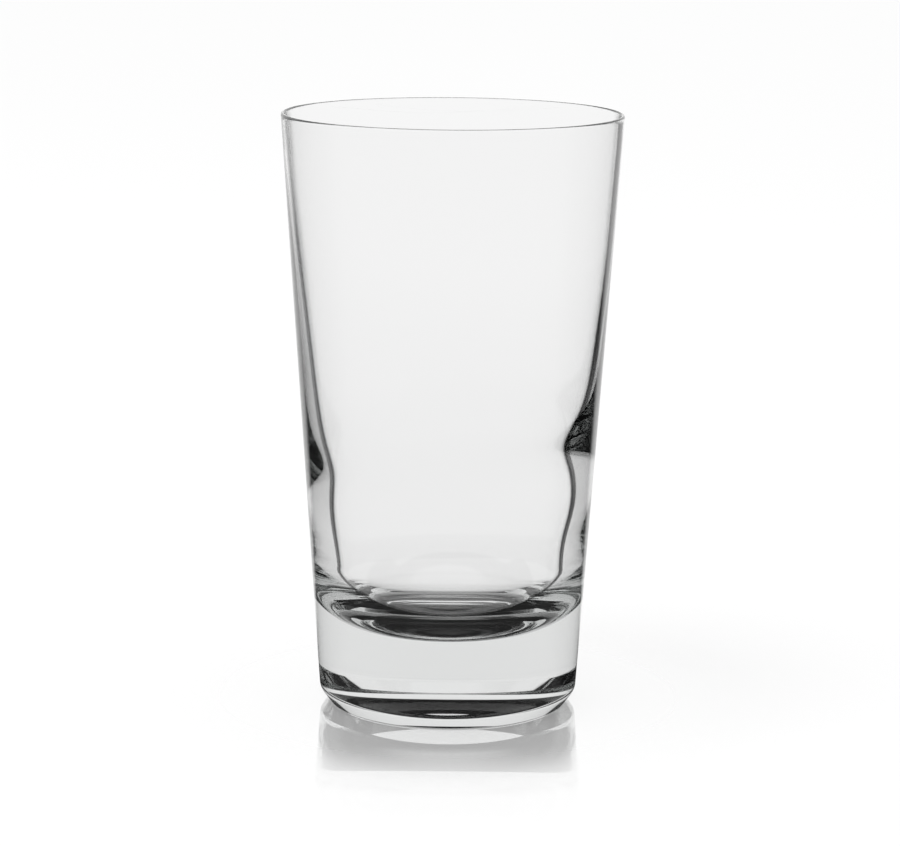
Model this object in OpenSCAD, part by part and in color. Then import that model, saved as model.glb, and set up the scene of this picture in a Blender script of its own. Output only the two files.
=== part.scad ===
// Highball glass: one body of clear pressed glass, drawn as a half section and revolved.
// Millimetres. The origin is the centre of the circle that the glass stands on, and +Z points up.

/* [Body] */
// Height from the resting ring to the top of the rim
glass_h = 138.5; // [125:0.5:150]
// Outer diameter at the rim
rim_d = 79; // [74:0.5:90]
// Outer diameter that the tapered wall would have at the resting ring
foot_d = 60; // [58:0.5:66]
// Width of the bevelled heel between the wall and the resting ring
heel_w = 2.2; // [1.6:0.1:3]
// Height of the bevelled heel
heel_h = 3.2; // [2.4:0.1:4]
// Radius of the heel's soft upper edge
heel_top_r = 3; // [1:0.1:4]
// Radius of the heel's soft lower edge
heel_low_r = 0.6; // [0.2:0.1:1]

/* [Lip] */
// Thickness of the wall just under the lip
lip_wall = 1.1; // [0.9:0.05:1.6]
// Radius of each rounded edge of the fire-polished lip
lip_r = 0.5; // [0.2:0.05:0.6]

/* [Inner wall] */
// Height of the middle of the upper wall
middle_z = 106; // [95:0.5:112]
// Wall thickness at that height
middle_wall = 1.8; // [1.4:0.05:2]
// Height of the top of the shoulder, where the wall swells inward
shoulder_z = 68; // [64:0.5:74]
// Wall thickness at the top of the shoulder
shoulder_wall = 3.3; // [2.6:0.1:3.8]
// Height of the foot of the shoulder
barrel_z = 52; // [48:0.5:54]
// Inner diameter at the foot of the shoulder
barrel_d = 56.8; // [53:0.1:58]
// Inner diameter where the lowest stretch of the inner wall would meet the cavity floor
well_d = 51.2; // [48:0.1:53]
// Length of the soft bends above and below the shoulder, each way from the bend
shoulder_blend = 5.5; // [3:0.1:6.5]
// Length of the long bend in the upper wall, each way from the bend
middle_blend = 14; // [8:0.5:16]

/* [Base] */
// Height of the cavity floor at its centre, which is the thickness of the solid base
floor_z = 18.1; // [14:0.1:22]
// How far the cavity floor rises from its centre to its edge
floor_rise = 0.4; // [0.2:0.1:1.5]
// Radius of the round corner between the inner wall and the cavity floor
corner_r = 17.5; // [12:0.1:19]
// Width of the flat ring that the glass stands on
ring_w = 4; // [2:0.1:6]
// Rise of the hollow under the base at its centre
punt_rise = 3.4; // [2:0.1:4.5]
// Radius of the small round edge between the resting ring and the hollow
punt_edge_r = 0.8; // [0.3:0.1:1.5]

/* [Hidden] */
// Segments in each kind of round stretch
lip_steps = 6;
heel_steps = 6;
bend_steps = 8;
corner_steps = 20;
punt_steps = 14;
edge_steps = 4;
turn_fn = 180;

// Half of each diameter, because a section is drawn from the axis outward
rim_r = rim_d / 2;
foot_r = foot_d / 2;
barrel_r = barrel_d / 2;
well_r = well_d / 2;

// Outer radius of the straight tapered wall at a height
function outer_r(z) = foot_r + (rim_r - foot_r) * z / glass_h;

function unit(v) = v / norm(v);

// Circular arc of radius r that rounds the corner b of the path a, b, c
function fillet(a, b, c, r, steps) =
    let (
        back = unit(a - b),
        ahead = unit(c - b),
        half = acos(back * ahead) / 2,
        centre = b + unit(back + ahead) * r / sin(half),
        start = b + back * r / tan(half) - centre,
        turn = (180 - 2 * half) * sign(cross(ahead, back))
    )
    [for (i = [0:steps]) centre + turned(start, turn * i / steps)];

function turned(v, angle) = [
    v.x * cos(angle) - v.y * sin(angle),
    v.x * sin(angle) + v.y * cos(angle)
];

// Soft curve that leaves the path a, b, c a given length before b and joins it again as far after b
function blend(a, b, c, reach, steps) =
    let (
        start = b + unit(a - b) * reach,
        end = b + unit(c - b) * reach
    )
    [for (i = [0:steps]) let (t = i / steps) (1 - t)^2 * start + 2 * t * (1 - t) * b + t^2 * end];

// Corners of the section, before they are rounded
ring_inner = [foot_r - heel_w - ring_w, 0];
ring_outer = [foot_r - heel_w, 0];
heel_top = [outer_r(heel_h), heel_h];
lip_outer = [rim_r, glass_h];
lip_inner = [rim_r - lip_wall, glass_h];
middle = [outer_r(middle_z) - middle_wall, middle_z];
shoulder = [outer_r(shoulder_z) - shoulder_wall, shoulder_z];
barrel = [barrel_r, barrel_z];
well = [well_r, floor_z + floor_rise];
floor_centre = [0, floor_z];

// Radius of the sphere that the hollow under the base is part of
punt_r = (ring_inner.x^2 + punt_rise^2) / (2 * punt_rise);
punt_angle = asin(ring_inner.x / punt_r);

// The hollow's arc from the axis out to a height above the ring, which the small edge arc then rounds
function punt_arc() = [
    for (i = [0:punt_steps - 1])
        let (a = punt_angle * i / punt_steps)
        [punt_r * sin(a), punt_rise - punt_r * (1 - cos(a))]
];

function punt_edge() =
    fillet(punt_arc()[punt_steps - 1], ring_inner, ring_outer, punt_edge_r, edge_steps);

function heel() = concat(
    fillet(ring_inner, ring_outer, heel_top, heel_low_r, edge_steps),
    fillet(ring_outer, heel_top, lip_outer, heel_top_r, heel_steps)
);

function lip() = concat(
    fillet(heel_top, lip_outer, lip_inner, lip_r, lip_steps),
    fillet(lip_outer, lip_inner, middle, lip_r, lip_steps)
);

function inner_wall() = concat(
    blend(lip_inner, middle, shoulder, middle_blend, bend_steps),
    blend(middle, shoulder, barrel, shoulder_blend, bend_steps),
    blend(shoulder, barrel, well, shoulder_blend, bend_steps)
);

function cavity_floor() = concat(
    fillet(barrel, well, floor_centre, corner_r, corner_steps),
    [floor_centre]
);

// Half section of the glass, from the top of the hollow round the outside and down the inside
module glass_section() {
    polygon(concat(punt_arc(), punt_edge(), heel(), lip(), inner_wall(), cavity_floor()));
}

module glass() {
    color("lightcyan", 0.4)
        rotate_extrude($fn = turn_fn)
            glass_section();
}

glass();
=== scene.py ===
"""Looks of the highball glass: the finely revolved body, its material, the stage and the camera.

It is laid out as an add-on and run as a script, in metres and in the frame of the CAD model.
"""

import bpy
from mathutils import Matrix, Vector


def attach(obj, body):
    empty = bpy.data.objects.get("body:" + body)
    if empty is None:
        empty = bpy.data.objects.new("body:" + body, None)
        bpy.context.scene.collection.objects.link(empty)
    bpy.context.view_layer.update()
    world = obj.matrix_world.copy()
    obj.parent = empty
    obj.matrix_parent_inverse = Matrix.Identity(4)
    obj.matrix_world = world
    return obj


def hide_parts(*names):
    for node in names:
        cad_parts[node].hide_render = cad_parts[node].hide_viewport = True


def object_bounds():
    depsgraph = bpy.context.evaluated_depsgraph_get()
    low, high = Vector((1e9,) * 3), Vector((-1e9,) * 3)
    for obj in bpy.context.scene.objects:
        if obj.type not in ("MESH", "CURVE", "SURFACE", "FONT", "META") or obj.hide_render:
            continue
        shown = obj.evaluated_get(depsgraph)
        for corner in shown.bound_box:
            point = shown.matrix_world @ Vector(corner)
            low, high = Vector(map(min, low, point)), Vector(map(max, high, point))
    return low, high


bl_info = {
    "name": "Highball glass",
    "version": (1, 0, 0),
    "blender": (4, 5, 0),
    "location": "3D View > Sidebar > Highball glass",
    "description": "Builds the clear highball glass, its material and a plain pale stage",
    "category": "Object",
}

import math

import bmesh
import bpy
from bpy.props import FloatProperty, FloatVectorProperty, IntProperty, PointerProperty
from bpy.types import Operator, Panel, PropertyGroup
from mathutils import Matrix, Vector

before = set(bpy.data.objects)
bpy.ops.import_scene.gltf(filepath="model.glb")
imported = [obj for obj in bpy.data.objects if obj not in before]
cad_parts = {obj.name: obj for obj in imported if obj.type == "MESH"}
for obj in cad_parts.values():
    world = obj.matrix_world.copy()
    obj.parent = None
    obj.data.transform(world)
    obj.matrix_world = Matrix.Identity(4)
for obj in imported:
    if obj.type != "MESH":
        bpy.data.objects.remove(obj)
LOW_AT_LOAD, HIGH_AT_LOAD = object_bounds()

MM = 0.001
GLASS_HEIGHT = HIGH_AT_LOAD.z - LOW_AT_LOAD.z


def linear(hex_colour):
    """sRGB hex colour as linear red, green, blue and alpha."""
    channels = [int(hex_colour[i:i + 2], 16) / 255 for i in (1, 3, 5)]
    return tuple(
        c / 12.92 if c <= 0.04045 else ((c + 0.055) / 1.055) ** 2.4 for c in channels
    ) + (1.0,)


class GlassSizes(PropertyGroup):
    """Sizes of the glass body. The outside and the base repeat the CAD source, the rim a hair
    smaller to stay inside its facets. The cavity's wall is fitted finer, each side by itself."""

    rim_radius: FloatProperty(
        name="Rim radius", description="Outer radius that the wall reaches at the rim",
        default=39.48 * MM, unit="LENGTH")
    foot_radius: FloatProperty(
        name="Foot radius", description="Outer radius that the wall would have at the table",
        default=30.0 * MM, unit="LENGTH")
    heel_width: FloatProperty(
        name="Heel width", description="Width of the bevelled heel between wall and resting ring",
        default=2.2 * MM, unit="LENGTH")
    heel_height: FloatProperty(
        name="Heel height", description="Height of the bevelled heel",
        default=3.2 * MM, unit="LENGTH")
    heel_top_radius: FloatProperty(
        name="Heel top radius", description="Rounding of the heel's upper edge",
        default=3.0 * MM, unit="LENGTH")
    heel_low_radius: FloatProperty(
        name="Heel low radius", description="Rounding of the heel's lower edge",
        default=0.6 * MM, unit="LENGTH")
    lip_wall: FloatVectorProperty(
        name="Lip wall", description="Wall thickness just under the lip, on the -X and the +X side",
        size=2, default=(0.96 * MM, 0.8 * MM), unit="LENGTH")
    gain_slope: FloatVectorProperty(
        name="Gain", description="How fast the upper wall thickens downward, on each side",
        size=2, default=(0.0467, 0.0532))
    gain_top: FloatVectorProperty(
        name="Gain top", description="Height at which that thickening starts, on each side",
        size=2, default=(118.7 * MM, 100.3 * MM), unit="LENGTH")
    gain_reach: FloatProperty(
        name="Gain reach", description="Softness of the start of the thickening",
        default=6.0 * MM, unit="LENGTH")
    shoulder_middle: FloatVectorProperty(
        name="Shoulder middle",
        description="Height of the middle of the inner shoulder, on each side",
        size=2, default=(57.06 * MM, 64.62 * MM), unit="LENGTH")
    shoulder_reach: FloatVectorProperty(
        name="Shoulder reach", description="Softness of the shoulder, on each side",
        size=2, default=(7.17 * MM, 6.89 * MM), unit="LENGTH")
    barrel_wall: FloatVectorProperty(
        name="Barrel wall", description="Wall thickness below the shoulder, on each side",
        size=2, default=(6.2 * MM, 5.64 * MM), unit="LENGTH")
    dip_depth: FloatVectorProperty(
        name="Dip", description="Wall missing in the shallow dip below the shoulder, on each side",
        size=2, default=(0.78 * MM, 1.0 * MM), unit="LENGTH")
    dip_middle: FloatVectorProperty(
        name="Dip middle", description="Height of the middle of the dip, on each side",
        size=2, default=(45.0 * MM, 48.6 * MM), unit="LENGTH")
    dip_reach: FloatVectorProperty(
        name="Dip reach", description="Softness of the dip, on each side",
        size=2, default=(12.0 * MM, 10.2 * MM), unit="LENGTH")
    lip_radius: FloatProperty(
        name="Lip radius", description="Rounding of the fire-polished lip",
        default=0.5 * MM, unit="LENGTH")
    floor_height: FloatProperty(
        name="Cavity floor", description="Height of the cavity floor at its centre",
        default=18.05 * MM, unit="LENGTH")
    floor_rise: FloatProperty(
        name="Floor rise", description="Rise of the cavity floor towards its corner",
        default=0.4 * MM, unit="LENGTH")
    corner_radius: FloatProperty(
        name="Corner radius", description="Rounding between the inner wall and the cavity floor",
        default=17.5 * MM, unit="LENGTH")
    ring_width: FloatProperty(
        name="Ring width", description="Width of the flat ring that the glass stands on",
        default=4.0 * MM, unit="LENGTH")
    punt_rise: FloatProperty(
        name="Punt rise", description="Rise of the hollow under the base at its centre",
        default=3.4 * MM, unit="LENGTH")
    punt_edge_radius: FloatProperty(
        name="Punt edge radius", description="Rounding between the resting ring and the hollow",
        default=0.8 * MM, unit="LENGTH")
    turns: IntProperty(
        name="Segments", description="Segments around the glass", default=240, min=48)


class GlassFinish(PropertyGroup):
    """Colour and optics of the clear pressed glass."""

    tint: FloatVectorProperty(
        name="Tint", description="Colour that is left after light crosses much glass",
        default=linear("#BCC1BF")[:3], subtype="COLOR", min=0.0, max=1.0)
    density: FloatProperty(
        name="Density", description="How strongly the glass absorbs, per metre", default=5.5)
    ior: FloatProperty(
        name="Index of refraction", description="Soda-lime glass bends light by about this much",
        default=1.52)
    ripple_width: FloatProperty(
        name="Ripple width", description="Typical width of the faint ripples left by the mould",
        default=14.0 * MM, unit="LENGTH")
    ripple_height: FloatProperty(
        name="Ripple height", description="Height of those ripples",
        default=0.006 * MM, unit="LENGTH")


class StageSettings(PropertyGroup):
    """Pale floor, soft light and the camera of the photograph."""

    floor_radius: FloatProperty(
        name="Floor radius", description="Radius of the pale floor", default=6.0, unit="LENGTH")
    camera_distance: FloatProperty(
        name="Camera distance", description="Distance in front of the glass's axis",
        default=740.9 * MM, unit="LENGTH")
    camera_height: FloatProperty(
        name="Camera height", description="Height above the floor",
        default=209.1 * MM, unit="LENGTH")
    camera_pitch: FloatProperty(
        name="Camera pitch", description="How far the camera looks down",
        default=math.radians(10.93), subtype="ANGLE", unit="ROTATION")
    camera_roll: FloatProperty(
        name="Camera roll", description="How far the camera leans",
        default=math.radians(0.53), subtype="ANGLE", unit="ROTATION")
    camera_lens: FloatProperty(
        name="Lens", description="Focal length in millimetres on a 36 mm wide sensor",
        default=129.2)
    table_strength: FloatProperty(
        name="Table strength",
        description="Brightness of the table and the surroundings as seen through the glass",
        default=0.93)
    horizon: FloatProperty(
        name="Back horizon", description="Elevation up to which the surroundings behind are bright",
        default=math.radians(21.0), subtype="ANGLE", unit="ROTATION")
    front_horizon: FloatProperty(
        name="Front horizon", description="The same on the camera's side",
        default=math.radians(35.0), subtype="ANGLE", unit="ROTATION")
    overhead: FloatProperty(
        name="Overhead", description="Elevation above which the ceiling is bright",
        default=math.radians(60.0), subtype="ANGLE", unit="ROTATION")


def socket(node, name):
    """Input of a node by number, or by name among the inputs that its settings leave in use."""
    if isinstance(name, int):
        return node.inputs[name]
    return next(s for s in node.inputs if s.name == name and s.enabled)


def out(node, name="Result"):
    """Output of a node by name among those that its settings leave in use."""
    return next(s for s in node.outputs if s.name == name and s.enabled)


def add(tree, kind, settings=None, links=None, stops=()):
    """Adds a node, sets its properties and sockets, and links the named sources to its inputs. A
    ramp's grey tone runs smoothly through its (position, tone) stops."""
    node = tree.nodes.new(kind)
    plain = {name: value for name, value in (settings or {}).items() if hasattr(node, str(name))}
    for name, value in plain.items():
        setattr(node, name, value)
    for name, value in (settings or {}).items():
        if name not in plain:
            socket(node, name).default_value = value
    for name, source in (links or {}).items():
        tree.links.new(source, socket(node, name))
    if stops:
        node.color_ramp.interpolation = "EASE"
        elements = node.color_ramp.elements
        while len(elements) < len(stops):
            elements.new(1.0)
        for element, (position, tone) in zip(elements, stops):
            element.position = position
            element.color = (tone, tone, tone, 1.0)
    return node


# Height of the round lip above the top of the plain inner wall
LIP_HEIGHT = 1.3 * MM
# Share of the glass's height at which the wall's direction is taken for the lip's rounding
LIP_FROM = 0.9
# Length below the rim over which the difference between the two sides' walls fades out
SIDE_FADE = 8 * MM
# The straight taper's own points keep clear of the roundings at its ends: they start at this many
# heel heights above the table and end at this many lip radii below the rim
TAPER_FROM, TAPER_TO = 1.6, 2.0
# Steps in each stretch of the half section
DOME_STEPS, EDGE_STEPS, HEEL_STEPS, OUTER_STEPS, LIP_STEPS = 24, 6, 10, 40, 8
INNER_STEPS, CORNER_STEPS, BOWL_STEPS = 110, 30, 10

# Detail and roughness of the mould's ripples, and how many there are along the glass for one across
RIPPLE_DETAIL, RIPPLE_ROUGHNESS, RIPPLES_ALONG = 1.0, 0.4, 0.35

# The cavity's wall as seen from inside the glass. Each table is a row of (position, tone) stops.
# Share that the wall mirrors, and the glass's colour there: painted shade that dims the light it
# lets through where it mirrors much
GRAZING_SHADE_TONES = ((0.0, 1.0), (0.2, 0.97), (0.34, 0.6), (0.45, 0.1), (1.0, 0.02))
# Share that the wall mirrors from which the reflection counts as total
TOTAL = 0.99
# Slant of the light inside the glass against the wall at which total reflection starts, and the
# most that the painted dark line there reaches to each side of it
LIMIT_SLANT, LIMIT_REACH = 0.247, 0.02
# How dark the painted line is across its width
LIMIT_TONES = ((0.0, 0.0), (0.28, 1.0), (0.72, 1.0), (1.0, 0.0))
# Height as a share of the glass's height, and how much of that painted darkness shows: none in the
# base
LINE_TONES = (
    (0.0, 0.0), (0.17, 0.0), (0.24, 0.76), (0.36, 0.82), (0.44, 0.74), (0.55, 0.76), (0.8, 0.74),
    (1.0, 0.8))
# Height, and the share of LIMIT_REACH that the line takes: widest just below the shoulder
WIDTH_TONES = ((0.0, 0.4), (0.25, 0.55), (0.38, 0.75), (0.6, 0.62), (0.75, 0.5), (1.0, 0.4))
# Height, and the painted shade laid on each total reflection, which stands for light lost there:
# most at the shoulder, where light that runs down inside the wall leaves it
LOSS_SHADE_TONES = ((0.0, 0.12), (0.3, 0.14), (0.38, 0.26), (0.56, 0.26), (0.7, 0.05), (1.0, 0.0))
# Distance from the axis at which the line's difference between the two sides is full
SIDE_REACH = 35 * MM
# How much wider and darker the line is on +X, where the upper wall is thinner, and how much
# narrower and paler on -X: below the first of these heights, and above the second
LEAST_UNEVEN, MOST_UNEVEN = 0.06, 0.33
UNEVEN_FROM, UNEVEN_TO = 0.45, 0.75


def fillet(a, b, c, radius, steps):
    """Arc of the given radius that rounds the corner b of the path a, b, c."""
    back = (a - b).normalized()
    ahead = (c - b).normalized()
    half = back.angle(ahead) / 2
    centre = b + (back + ahead).normalized() * (radius / math.sin(half))
    start = b + back * (radius / math.tan(half)) - centre
    side = 1 if ahead.x * back.y - ahead.y * back.x > 0 else -1
    turn = side * (math.pi - 2 * half)
    return [centre + Matrix.Rotation(turn * i / steps, 2) @ start for i in range(steps + 1)]


def step(x):
    """Soft step from nought to one around x = 0."""
    return (1 + math.tanh(x)) / 2


class Section:
    """Half section of the glass in the XZ plane, as 2D points from the axis outward and back."""

    def __init__(self, sizes):
        self.s = sizes
        self.wall_top = GLASS_HEIGHT - LIP_HEIGHT
        self.lip_wall = sum(sizes.lip_wall) / 2
        self.lean = math.atan((sizes.rim_radius - sizes.foot_radius) / GLASS_HEIGHT)
        self.wall_bottom = (
            sizes.floor_height + sizes.floor_rise + sizes.corner_radius * (1 - math.sin(self.lean)))

    def outer_radius(self, z):
        return self.s.foot_radius + (self.s.rim_radius - self.s.foot_radius) * z / GLASS_HEIGHT

    def wall(self, z, side):
        """Wall thickness at a height on side 0 (-X) or 1 (+X): thin at the lip, slowly thicker
        down the body, and thick below the shoulder, with a shallow dip in the thick part."""
        s = self.s
        down = math.log1p(math.exp((s.gain_top[side] - z) / s.gain_reach)) * s.gain_reach
        body = s.lip_wall[side] + s.gain_slope[side] * down
        share = step((s.shoulder_middle[side] - z) / s.shoulder_reach[side])
        dip = s.dip_depth[side] * math.exp(-(((z - s.dip_middle[side]) / s.dip_reach[side]) ** 2))
        return body + (s.barrel_wall[side] - body) * share - dip

    def inner_radius(self, z):
        return self.outer_radius(z) - (self.wall(z, 0) + self.wall(z, 1)) / 2

    def swing(self, z):
        """How far the inner wall lies towards -X. It fades out at the lip and in the corner."""
        top = (GLASS_HEIGHT - z) / SIDE_FADE
        bottom = (z - self.s.floor_height) / (self.wall_bottom - self.s.floor_height)
        fade = max(0.0, min(1.0, top, bottom))
        return (self.wall(z, 1) - self.wall(z, 0)) / 2 * fade

    def underside(self):
        """From the top of the hollow down to the resting ring, and up the heel."""
        s = self.s
        inner = Vector((s.foot_radius - s.heel_width - s.ring_width, 0))
        corner = Vector((s.foot_radius - s.heel_width, 0))
        heel = Vector((self.outer_radius(s.heel_height), s.heel_height))
        rim = Vector((s.rim_radius, GLASS_HEIGHT))
        dome_radius = (inner.x**2 + s.punt_rise**2) / (2 * s.punt_rise)
        dome_angle = math.asin(inner.x / dome_radius)
        dome = [
            Vector((dome_radius * math.sin(a), s.punt_rise - dome_radius * (1 - math.cos(a))))
            for a in (dome_angle * i / DOME_STEPS for i in range(DOME_STEPS))
        ]
        return (
            dome
            + fillet(dome[-1], inner, corner, s.punt_edge_radius, EDGE_STEPS)
            + fillet(inner, corner, heel, s.heel_low_radius, EDGE_STEPS)
            + fillet(corner, heel, rim, s.heel_top_radius, HEEL_STEPS)
        )

    def outer_wall(self):
        """The straight taper between the heel's and the lip's roundings."""
        low = TAPER_FROM * self.s.heel_height
        high = GLASS_HEIGHT - TAPER_TO * self.s.lip_radius
        heights = [low + (high - low) * i / OUTER_STEPS for i in range(OUTER_STEPS + 1)]
        return [Vector((self.outer_radius(z), z)) for z in heights]

    def lip(self):
        """The two round edges of the lip, from the outside in."""
        s = self.s
        low = LIP_FROM * GLASS_HEIGHT
        outer = Vector((s.rim_radius, GLASS_HEIGHT))
        inner = Vector((s.rim_radius - self.lip_wall, GLASS_HEIGHT))
        below = Vector((self.outer_radius(low), low))
        within = Vector((self.inner_radius(low), low))
        return (
            fillet(below, outer, inner, s.lip_radius, LIP_STEPS)
            + fillet(outer, inner, within, s.lip_radius, LIP_STEPS)
        )

    def inner_wall(self):
        """From under the lip down to the cavity's corner."""
        top, bottom = self.wall_top, self.wall_bottom
        heights = [top + (bottom - top) * i / INNER_STEPS for i in range(INNER_STEPS + 1)]
        return [Vector((self.inner_radius(z), z)) for z in heights]

    def cavity_floor(self):
        """The round corner below the inner wall, and the shallow bowl in its middle."""
        s = self.s
        end = Vector((self.inner_radius(self.wall_bottom), self.wall_bottom))
        radius = s.corner_radius
        centre = end - radius * Vector((math.cos(self.lean), -math.sin(self.lean)))
        last = -math.pi / 2 + math.atan(2 * s.floor_rise / centre.x)
        turns = [
            -self.lean + (last + self.lean) * i / CORNER_STEPS for i in range(1, CORNER_STEPS + 1)]
        arc = [centre + radius * Vector((math.cos(a), math.sin(a))) for a in turns]
        edge = arc[-1]
        bowl = [
            Vector((edge.x * t, s.floor_height + (edge.y - s.floor_height) * t**2))
            for t in (1 - i / BOWL_STEPS for i in range(1, BOWL_STEPS + 1))
        ]
        return arc + bowl


def revolve(outside, inside, segments):
    """Spins the section about Z. The layer cavity_side is 1 on the inside points."""
    mesh = bmesh.new()
    layer = mesh.verts.layers.float.new("cavity_side")
    ring = []
    for points, share in ((outside, 0.0), (inside, 1.0)):
        for p in points:
            vert = mesh.verts.new((p.x, 0, p.y))
            vert[layer] = share
            ring.append(vert)
    edges = [mesh.edges.new(pair) for pair in zip(ring, ring[1:])]
    bmesh.ops.spin(
        mesh, geom=ring + edges, cent=(0, 0, 0), axis=(0, 0, 1), angle=2 * math.pi,
        steps=segments, use_merge=True)
    bmesh.ops.remove_doubles(mesh, verts=mesh.verts, dist=0.001 * MM)
    return mesh


def shift_cavity(mesh, section):
    """Moves the cavity's points in or out by their place along X, so that each side gets its own
    wall and the two blend into each other at the front and the back."""
    layer = mesh.verts.layers.float["cavity_side"]
    for vert in mesh.verts:
        radius = math.hypot(vert.co.x, vert.co.y)
        if vert[layer] > 0 and radius > 0:
            vert.co.xy *= 1 - section.swing(vert.co.z) * vert.co.x / radius**2


def face_outward(mesh):
    """Turns all normals of a closed mesh outward. Alone, the recalculation can pick the inside of a
    thin wall."""
    bmesh.ops.recalc_face_normals(mesh, faces=mesh.faces)
    if mesh.calc_volume(signed=True) < 0:
        bmesh.ops.reverse_faces(mesh, faces=mesh.faces)


def finished(mesh, name, material):
    """Turns a bmesh into a smooth object at the origin with one material."""
    for face in mesh.faces:
        face.smooth = True
    data = bpy.data.meshes.new(name)
    mesh.to_mesh(data)
    mesh.free()
    data.materials.append(material)
    piece = bpy.data.objects.new(name, data)
    bpy.context.scene.collection.objects.link(piece)
    return piece


def pressed_soda_lime_glass(finish):
    """Pressed soda-lime glass, fire polished: a clear, mirror-smooth body with faint mould ripples
    that bend what is seen through it, and a slight grey where much glass lies in the way. Seen from
    inside, the cavity's wall gets painted shade: a thin dark line painted where total reflection
    starts, and a painted darkening of each total reflection there. The cavity's wall is also
    painted darker where it mirrors much. This painted shade draws the dark sides of a thick glass."""
    material = bpy.data.materials.new("pressed_soda_lime_glass")
    material.use_nodes = True
    tree = material.node_tree
    tree.nodes.clear()
    place = add(tree, "ShaderNodeTexCoord").outputs["Object"]
    cavity = add(tree, "ShaderNodeAttribute", {"attribute_name": "cavity_side"}).outputs["Fac"]
    mirror = add(tree, "ShaderNodeFresnel", {"IOR": finish.ior}).outputs["Fac"]

    # Ripples run up the wall, as the mould's plunger leaves them
    stretch = add(
        tree, "ShaderNodeMapping", {"Scale": (1.0, 1.0, RIPPLES_ALONG)}, {"Vector": place})
    ripple = add(
        tree, "ShaderNodeTexNoise",
        {"Scale": 1.0 / finish.ripple_width, "Detail": RIPPLE_DETAIL,
         "Roughness": RIPPLE_ROUGHNESS},
        {"Vector": stretch.outputs["Vector"]})
    bump = add(
        tree, "ShaderNodeBump",
        {"Strength": 1.0, "Distance": finish.ripple_height},
        {"Height": ripple.outputs["Fac"]})
    # Painted shade: the cavity's wall gets a darker colour where it mirrors much, which dims the
    # light let through; clear is white elsewhere and this painted shade on the cavity's wall
    grazing_shade = add(tree, "ShaderNodeValToRGB", links={"Fac": mirror}, stops=GRAZING_SHADE_TONES)
    clear = add(tree, "ShaderNodeMix", {"data_type": "RGBA", "A": linear("#FFFFFF")}, {
        "Factor": cavity, "B": grazing_shade.outputs["Color"]})
    glass = add(
        tree, "ShaderNodeBsdfPrincipled",
        {"Roughness": 0.0, "IOR": finish.ior, "Transmission Weight": 1.0},
        {"Base Color": out(clear), "Normal": bump.outputs["Normal"]})

    # The painted dark line: its strength on each side, its two edges as slants, and its tone
    # between them
    axes = add(tree, "ShaderNodeSeparateXYZ", links={"Vector": place})
    height = add(tree, "ShaderNodeMapRange", {"From Max": GLASS_HEIGHT}, {
        "Value": axes.outputs["Z"]}).outputs["Result"]
    aside = add(
        tree, "ShaderNodeMapRange",
        {"From Min": -SIDE_REACH, "From Max": SIDE_REACH, "To Min": -1.0, "To Max": 1.0},
        {"Value": axes.outputs["X"]})
    uneven = add(
        tree, "ShaderNodeMapRange",
        {"From Min": UNEVEN_FROM, "From Max": UNEVEN_TO,
         "To Min": LEAST_UNEVEN, "To Max": MOST_UNEVEN},
        {"Value": height})
    side = add(tree, "ShaderNodeMath", {"operation": "MULTIPLY_ADD", 2: 1.0}, {
        0: aside.outputs["Result"], 1: uneven.outputs["Result"]}).outputs["Value"]
    widest = add(tree, "ShaderNodeMath", {"operation": "MULTIPLY", 1: LIMIT_REACH}, {0: side})
    width_here = add(tree, "ShaderNodeValToRGB", links={"Fac": height}, stops=WIDTH_TONES)
    width = add(tree, "ShaderNodeMath", {"operation": "MULTIPLY"}, {
        0: width_here.outputs["Color"], 1: widest.outputs["Value"]}).outputs["Value"]
    shallow = add(tree, "ShaderNodeMath", {"operation": "SUBTRACT", 0: LIMIT_SLANT}, {1: width})
    steep = add(tree, "ShaderNodeMath", {"operation": "ADD", 0: LIMIT_SLANT}, {1: width})
    slant = add(tree, "ShaderNodeLayerWeight", {"Blend": 0.5})
    across = add(tree, "ShaderNodeMapRange", links={
        "Value": slant.outputs["Facing"], "From Min": shallow.outputs["Value"],
        "From Max": steep.outputs["Value"]})
    tone_across = add(
        tree, "ShaderNodeValToRGB", links={"Fac": across.outputs["Result"]}, stops=LIMIT_TONES)
    tone_here = add(tree, "ShaderNodeValToRGB", links={"Fac": height}, stops=LINE_TONES)
    line = add(tree, "ShaderNodeMath", {"operation": "MULTIPLY"}, {
        0: tone_across.outputs["Color"], 1: tone_here.outputs["Color"]})
    sided_line = add(tree, "ShaderNodeMath", {"operation": "MULTIPLY"}, {
        0: line.outputs["Value"], 1: side})

    # The painted shade at each total reflection, which stands for light lost there
    total = add(tree, "ShaderNodeMath", {"operation": "GREATER_THAN", 1: TOTAL}, {0: mirror})
    loss_shade_here = add(tree, "ShaderNodeValToRGB", links={"Fac": height}, stops=LOSS_SHADE_TONES)
    loss_shade = add(tree, "ShaderNodeMath", {"operation": "MULTIPLY"}, {
        0: total.outputs["Value"], 1: loss_shade_here.outputs["Color"]})

    # Whichever painted shade is darker, and only for light inside the glass that meets the cavity's
    # wall
    darker = add(tree, "ShaderNodeMath", {"operation": "MAXIMUM"}, {
        0: sided_line.outputs["Value"], 1: loss_shade.outputs["Value"]})
    within = add(tree, "ShaderNodeMath", {"operation": "MULTIPLY"}, {
        0: add(tree, "ShaderNodeNewGeometry").outputs["Backfacing"], 1: cavity})
    dark = add(tree, "ShaderNodeMath", {"operation": "MULTIPLY"}, {
        0: darker.outputs["Value"], 1: within.outputs["Value"]})
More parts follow.
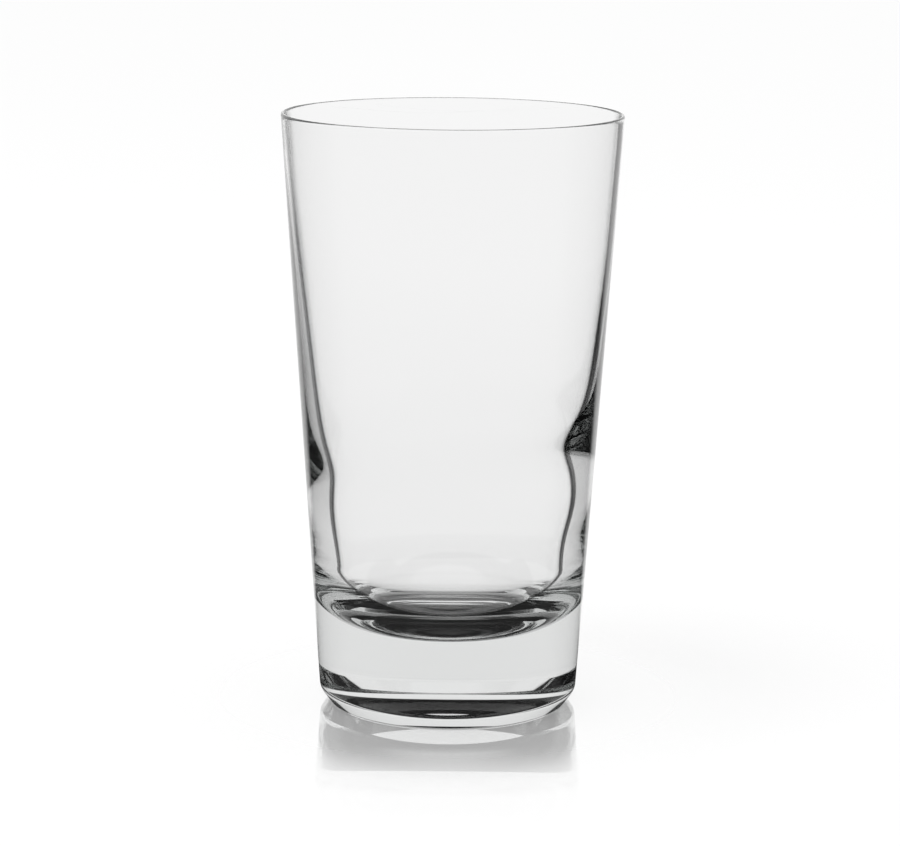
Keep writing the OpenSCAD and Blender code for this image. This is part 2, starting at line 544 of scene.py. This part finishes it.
    # Black mixed into the glass by that amount: the painted shade itself
    shade = add(tree, "ShaderNodeBsdfDiffuse", {"Color": linear("#000000")})
    surface = add(tree, "ShaderNodeMixShader", links={
        "Fac": dark.outputs["Value"], 1: glass.outputs["BSDF"], 2: shade.outputs["BSDF"]})
    depth = add(
        tree, "ShaderNodeVolumeAbsorption",
        {"Color": (*finish.tint, 1.0), "Density": finish.density})
    add(tree, "ShaderNodeOutputMaterial", links={
        "Surface": surface.outputs["Shader"], "Volume": depth.outputs["Volume"]})
    return material


# Direction from the glass over the table, from 0 through 0.5 (straight behind it) to 1, and how
# much of the white the glass mirrors there: painted dark at both sides, standing for black flags,
# and painted dim shade on the camera's side
PAINTED_FLAGS_AND_SHADE = (
    (0.0, 0.3), (0.21, 0.3), (0.27, 0.03), (0.38, 0.03), (0.41, 1.0), (0.59, 1.0), (0.62, 0.03),
    (0.74, 0.03), (0.79, 0.3),
)
# Tone of the unlit surroundings and of the table under the glass, as seen through the glass
UNLIT = 0.004
# Distance from the glass's axis in metres, and the painted shadow on the table there, as seen in
# and through the glass: black under the foot and slightly dim near it
TABLE_SHADOW_TONES = (
    (0.0, UNLIT), (0.028, UNLIT), (0.036, 0.8), (0.055, 0.95), (0.15, 0.96), (0.3, 0.98),
    (0.6, 1.0))
# Share of the table's light that is its own plain white, so that its shadows stay soft
OWN_WHITE = 0.6
# The tabletop's varnish, and how many times over its mirror share is taken: that falls between two
# distances from the glass's axis, and never gives more than the most
VARNISH_IOR, VARNISH_ROUGHNESS = 1.45, 0.015
POLISH_FROM, POLISH_TO = 44 * MM, 82 * MM
POLISH_NEAR, POLISH_FAR, MOST_POLISH = 2.8, 0.15, 0.62
# Half widths of the soft edges of the lit surroundings, as sines of an elevation or a direction
HORIZON_EDGE, CEILING_EDGE, SIDE_EDGE = 0.015, 0.03, 0.2
# The floor lies a hair below the resting ring, so that light which leaves the ring meets the table
FLOOR_GAP = 0.03 * MM
FLOOR_SEGMENTS = 96
# Soft round lamp above the left front: place, width in metres and power in watts
LAMP_PLACE, LAMP_WIDTH, LAMP_POWER = (-0.5, -0.3, 1.1), 0.9, 4.0
# Width of the camera's sensor in millimetres, and how far the camera sees in metres
SENSOR_WIDTH, SIGHT = 36.0, 50.0
# Light runs down inside the wall by many reflections before it leaves
MOST_BOUNCES = 96


def pale_tabletop(stage):
    """Matt white tabletop with a thin varnish. Directly it shows plain, keeps the shadow and
    mirrors the glass's foot. In and through the glass it glows with a painted shadow under and
    around the foot, and where the glass mirrors it, with painted dark sides standing for black
    flags and painted dim shade on the camera's side, which give a clear glass its dark edges."""
    material = bpy.data.materials.new("pale_tabletop")
    material.use_nodes = True
    tree = material.node_tree
    tree.nodes.clear()
    rays = add(tree, "ShaderNodeLightPath")
    place = add(tree, "ShaderNodeTexCoord").outputs["Object"]
    axes = add(tree, "ShaderNodeSeparateXYZ", links={"Vector": place})
    heading = add(tree, "ShaderNodeMath", {"operation": "ARCTAN2"}, {
        0: axes.outputs["X"], 1: axes.outputs["Y"]})
    turn = add(
        tree, "ShaderNodeMapRange", {"From Min": -math.pi, "From Max": math.pi},
        {"Value": heading.outputs["Value"]})
    distance = add(tree, "ShaderNodeVectorMath", {"operation": "LENGTH"}, {
        0: place}).outputs["Value"]

    # As seen in the glass and through it
    # Painted for light that the glass mirrors: dark sides standing for black flags, and dim shade
    # on the camera's side
    painted_flags = add(
        tree, "ShaderNodeValToRGB", links={"Fac": turn.outputs["Result"]}, stops=PAINTED_FLAGS_AND_SHADE)
    mirrored_painted_flags = add(tree, "ShaderNodeMix", {"data_type": "RGBA", "B": linear("#FFFFFF")}, {
        "Factor": rays.outputs["Is Transmission Ray"], "A": painted_flags.outputs["Color"]})
    # Painted shadow: black under the glass's foot and slightly dim around it
    painted_shadow = add(tree, "ShaderNodeValToRGB", links={"Fac": distance}, stops=TABLE_SHADOW_TONES)
    seen = add(
        tree, "ShaderNodeMix", {"data_type": "RGBA", "blend_type": "MULTIPLY", "Factor": 1.0},
        {"A": out(mirrored_painted_flags), "B": painted_shadow.outputs["Color"]})
    through = add(
        tree, "ShaderNodeEmission", {"Strength": stage.table_strength}, {"Color": out(seen)})

    # As seen directly
    matt = add(tree, "ShaderNodeBsdfDiffuse", {"Color": linear("#F8F8F8")})
    paper = add(tree, "ShaderNodeEmission", {"Color": linear("#FFFFFF"), "Strength": 1.0})
    plain = add(tree, "ShaderNodeMixShader", {"Fac": OWN_WHITE}, {
        1: matt.outputs["BSDF"], 2: paper.outputs["Emission"]})
    gloss = add(
        tree, "ShaderNodeBsdfGlossy",
        {"Color": linear("#FFFFFF"), "Roughness": VARNISH_ROUGHNESS})
    varnish = add(tree, "ShaderNodeFresnel", {"IOR": VARNISH_IOR})
    polish = add(
        tree, "ShaderNodeMapRange",
        {"interpolation_type": "SMOOTHSTEP", "From Min": POLISH_FROM, "From Max": POLISH_TO,
         "To Min": POLISH_NEAR, "To Max": POLISH_FAR},
        {"Value": distance})
    shine = add(tree, "ShaderNodeMath", {"operation": "MULTIPLY"}, {
        0: varnish.outputs["Fac"], 1: polish.outputs["Result"]})
    capped = add(tree, "ShaderNodeMath", {"operation": "MINIMUM", 1: MOST_POLISH}, {
        0: shine.outputs["Value"]})
    direct = add(tree, "ShaderNodeMixShader", links={
        "Fac": capped.outputs["Value"], 1: plain.outputs["Shader"], 2: gloss.outputs["BSDF"]})

    in_glass = add(tree, "ShaderNodeMath", {"operation": "MAXIMUM"}, {
        0: rays.outputs["Is Transmission Ray"], 1: rays.outputs["Is Glossy Ray"]})
    shown = add(tree, "ShaderNodeMixShader", links={
        "Fac": in_glass.outputs["Value"], 1: direct.outputs["Shader"],
        2: through.outputs["Emission"]})
    add(tree, "ShaderNodeOutputMaterial", links={"Surface": shown.outputs["Shader"]})
    return material


def studio_world(stage):
    """Plain white surroundings. Through the glass they show bright low down and straight above: the
    white behind the glass ends low, the white on the camera's side reaches higher, and the ceiling
    is lit."""
    world = bpy.data.worlds.new("studio")
    bpy.context.scene.world = world
    world.use_nodes = True
    tree = world.node_tree
    tree.nodes.clear()
    rays = add(tree, "ShaderNodeLightPath")
    place = add(tree, "ShaderNodeTexCoord")
    axes = add(tree, "ShaderNodeSeparateXYZ", links={"Vector": place.outputs["Generated"]})
    limit = add(
        tree, "ShaderNodeMapRange",
        {"interpolation_type": "SMOOTHSTEP", "From Min": SIDE_EDGE, "From Max": -SIDE_EDGE,
         "To Min": math.sin(stage.horizon), "To Max": math.sin(stage.front_horizon)},
        {"Value": axes.outputs["Y"]})
    above = add(tree, "ShaderNodeMath", {"operation": "SUBTRACT"}, {
        0: axes.outputs["Z"], 1: limit.outputs["Result"]})
    low = add(
        tree, "ShaderNodeMapRange",
        {"interpolation_type": "SMOOTHSTEP", "From Min": HORIZON_EDGE, "From Max": -HORIZON_EDGE,
         "To Min": UNLIT, "To Max": stage.table_strength},
        {"Value": above.outputs["Value"]})
    ceiling = math.sin(stage.overhead)
    top = add(
        tree, "ShaderNodeMapRange",
        {"interpolation_type": "SMOOTHSTEP",
         "From Min": ceiling - CEILING_EDGE, "From Max": ceiling + CEILING_EDGE,
         "To Min": 0.0, "To Max": stage.table_strength},
        {"Value": axes.outputs["Z"]})
    bright = add(tree, "ShaderNodeMath", {"operation": "MAXIMUM"}, {
        0: low.outputs["Result"], 1: top.outputs["Result"]})
    tone = add(tree, "ShaderNodeMix", {"data_type": "FLOAT", "A": 1.0}, {
        "Factor": rays.outputs["Is Transmission Ray"], "B": bright.outputs["Value"]})
    sky = add(tree, "ShaderNodeBackground", {"Strength": 1.0}, {"Color": out(tone)})
    add(tree, "ShaderNodeOutputWorld", links={"Surface": sky.outputs["Background"]})


class OBJECT_OT_highball_glass(Operator):
    """Build the glass body over its CAD node"""

    bl_idname = "object.highball_glass"
    bl_label = "Glass body"

    def execute(self, context):
        sizes = context.scene.highball_sizes
        section = Section(sizes)
        outside = section.underside() + section.outer_wall() + section.lip()
        inside = section.inner_wall() + section.cavity_floor()
        mesh = revolve(outside, inside, sizes.turns)
        shift_cavity(mesh, section)
        face_outward(mesh)
        glass = pressed_soda_lime_glass(context.scene.highball_finish)
        piece = finished(mesh, "glass_body", glass)
        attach(piece, "root")
        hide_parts("glass")
        return {"FINISHED"}


class OBJECT_OT_highball_stage(Operator):
    """Build the pale floor, the surroundings, the soft lamp and the camera"""

    bl_idname = "object.highball_stage"
    bl_label = "Stage"

    def execute(self, context):
        stage = context.scene.highball_stage
        mesh = bmesh.new()
        bmesh.ops.create_circle(
            mesh, cap_ends=True, radius=stage.floor_radius, segments=FLOOR_SEGMENTS,
            matrix=Matrix.Translation((0, 0, -FLOOR_GAP)))
        for face in mesh.faces:
            if face.normal.z < 0:
                face.normal_flip()
        floor = finished(mesh, "floor", pale_tabletop(stage))
        studio_world(stage)

        softbox = bpy.data.lights.new("softbox", "AREA")
        softbox.shape = "DISK"
        softbox.size = LAMP_WIDTH
        softbox.energy = LAMP_POWER
        lamp = bpy.data.objects.new("softbox", softbox)
        lamp.location = LAMP_PLACE
        lamp.rotation_euler = (-lamp.location).to_track_quat("-Z", "Y").to_euler()
        lamp.visible_transmission = False
        lamp.visible_glossy = False
        lamp.visible_camera = False
        context.scene.collection.objects.link(lamp)

        lens = bpy.data.cameras.new("camera")
        lens.sensor_width = SENSOR_WIDTH
        lens.lens = stage.camera_lens
        lens.clip_end = SIGHT
        camera = bpy.data.objects.new("camera", lens)
        place = Matrix.Translation((0, -stage.camera_distance, stage.camera_height))
        tilt = Matrix.Rotation(math.pi / 2 - stage.camera_pitch, 4, "X")
        roll = Matrix.Rotation(stage.camera_roll, 4, "Z")
        camera.matrix_world = place @ tilt @ roll
        context.scene.collection.objects.link(camera)
        context.scene.camera = camera

        context.scene.view_settings.view_transform = "Standard"
        cycles = context.scene.cycles
        cycles.max_bounces = MOST_BOUNCES
        cycles.transmission_bounces = MOST_BOUNCES
        cycles.glossy_bounces = MOST_BOUNCES
        return {"FINISHED"}


class VIEW3D_PT_highball(Panel):
    """Sidebar panel with the sizes and the operators"""

    bl_label = "Highball glass"
    bl_idname = "VIEW3D_PT_highball"
    bl_space_type = "VIEW_3D"
    bl_region_type = "UI"
    bl_category = "Highball glass"

    def draw(self, context):
        for group in (
            context.scene.highball_sizes,
            context.scene.highball_finish,
            context.scene.highball_stage,
        ):
            box = self.layout.box()
            for name in group.__annotations__:
                box.prop(group, name)
        self.layout.operator(OBJECT_OT_highball_glass.bl_idname)
        self.layout.operator(OBJECT_OT_highball_stage.bl_idname)


CLASSES = (
    GlassSizes,
    GlassFinish,
    StageSettings,
    OBJECT_OT_highball_glass,
    OBJECT_OT_highball_stage,
    VIEW3D_PT_highball,
)


def register():
    for cls in CLASSES:
        bpy.utils.register_class(cls)
    bpy.types.Scene.highball_sizes = PointerProperty(type=GlassSizes)
    bpy.types.Scene.highball_finish = PointerProperty(type=GlassFinish)
    bpy.types.Scene.highball_stage = PointerProperty(type=StageSettings)


def unregister():
    del bpy.types.Scene.highball_stage
    del bpy.types.Scene.highball_finish
    del bpy.types.Scene.highball_sizes
    for cls in reversed(CLASSES):
        bpy.utils.unregister_class(cls)


def main():
    register()
    bpy.ops.object.highball_glass()
    bpy.ops.object.highball_stage()


if __name__ == "__main__":
    main()
